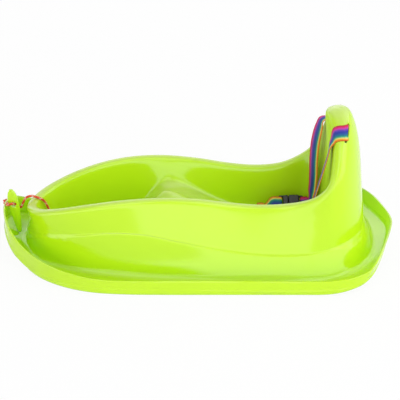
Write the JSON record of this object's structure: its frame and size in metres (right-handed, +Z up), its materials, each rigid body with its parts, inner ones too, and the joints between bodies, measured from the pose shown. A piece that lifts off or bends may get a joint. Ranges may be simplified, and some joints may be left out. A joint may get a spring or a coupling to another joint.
{
  "type": "child's plastic sled",
  "caption": "Moulded plastic sled for one small child, with an upturned lip, a deep tub with a high arched back, a buckled webbing belt and a tow rope.",
  "frame": {"origin": "centre of the footprint, on the ground", "axes": "+X to the tail, +Y to the rider's right, +Z up"},
  "size_m": [0.7449, 0.3822, 0.2812],
  "materials": {
    "lime_plastic": "gloss",
    "webbing": "woven",
    "black_plastic": "satin",
    "rope": "braided",
    "tie": "woven"
  },
  "bodies": {
    "sled": {"sled_shell": "lime_plastic", "belt_webbing": "webbing", "buckle_socket": "black_plastic", "tow_grip": "lime_plastic", "tow_rope": "rope", "tow_rope_coil": "rope", "rope_nose_knot": "rope", "rope_end_knot": "rope", "coil_tie": "tie"},
    "belt_end": {"buckle_plug": "black_plastic", "belt_lead": "webbing"}
  },
  "joints": [
    {"name": "buckle_release", "type": "slide", "parent": "sled", "child": "belt_end", "axis": [-1, 0, 0], "range_m": [0, 0.025]}
  ]
}
